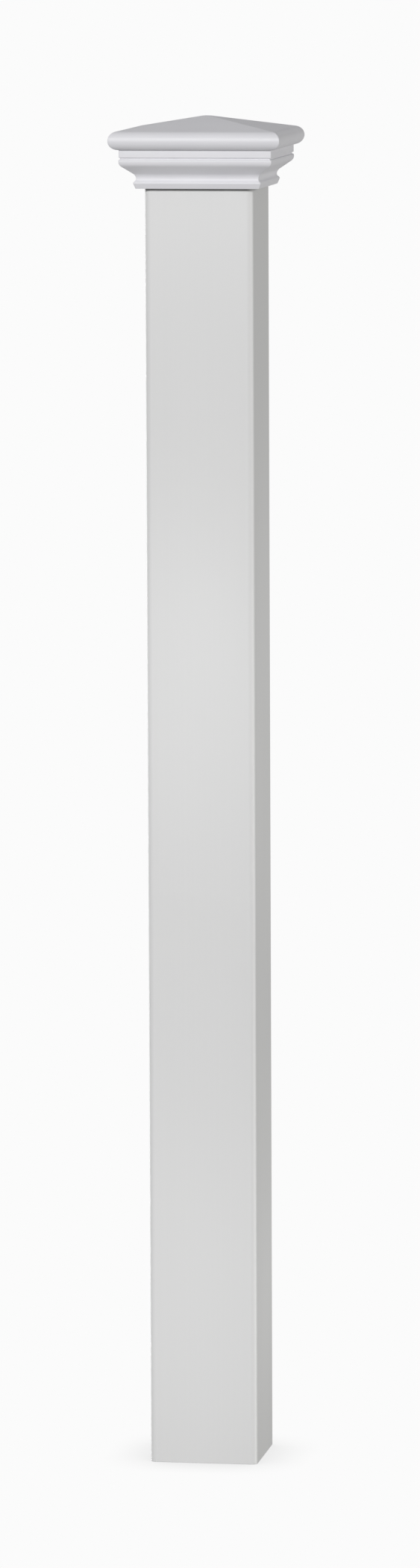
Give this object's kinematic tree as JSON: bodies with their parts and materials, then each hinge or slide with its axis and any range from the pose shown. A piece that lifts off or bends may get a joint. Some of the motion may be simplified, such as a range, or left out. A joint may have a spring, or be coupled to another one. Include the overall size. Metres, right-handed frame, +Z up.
{
  "type": "fence post",
  "caption": "Square hollow vinyl fence post with a moulded pyramid cap whose bullnose rim, cove and bead shed rain and close the post's open top.",
  "frame": {"origin": "centre of the post's foot, on the plane it stands on", "axes": "+Z up along the post, -Y out of the front face, +X to the right of a viewer facing the front"},
  "size_m": [0.16, 0.16, 1.2608],
  "materials": {
    "post_vinyl": "satin white extruded PVC with faint lines along its length",
    "cap_vinyl": "satin white moulded PVC, a little cooler in tone than the post"
  },
  "bodies": {
    "root": {"post": "post_vinyl", "post_cap": "cap_vinyl"}
  },
  "joints": []
}
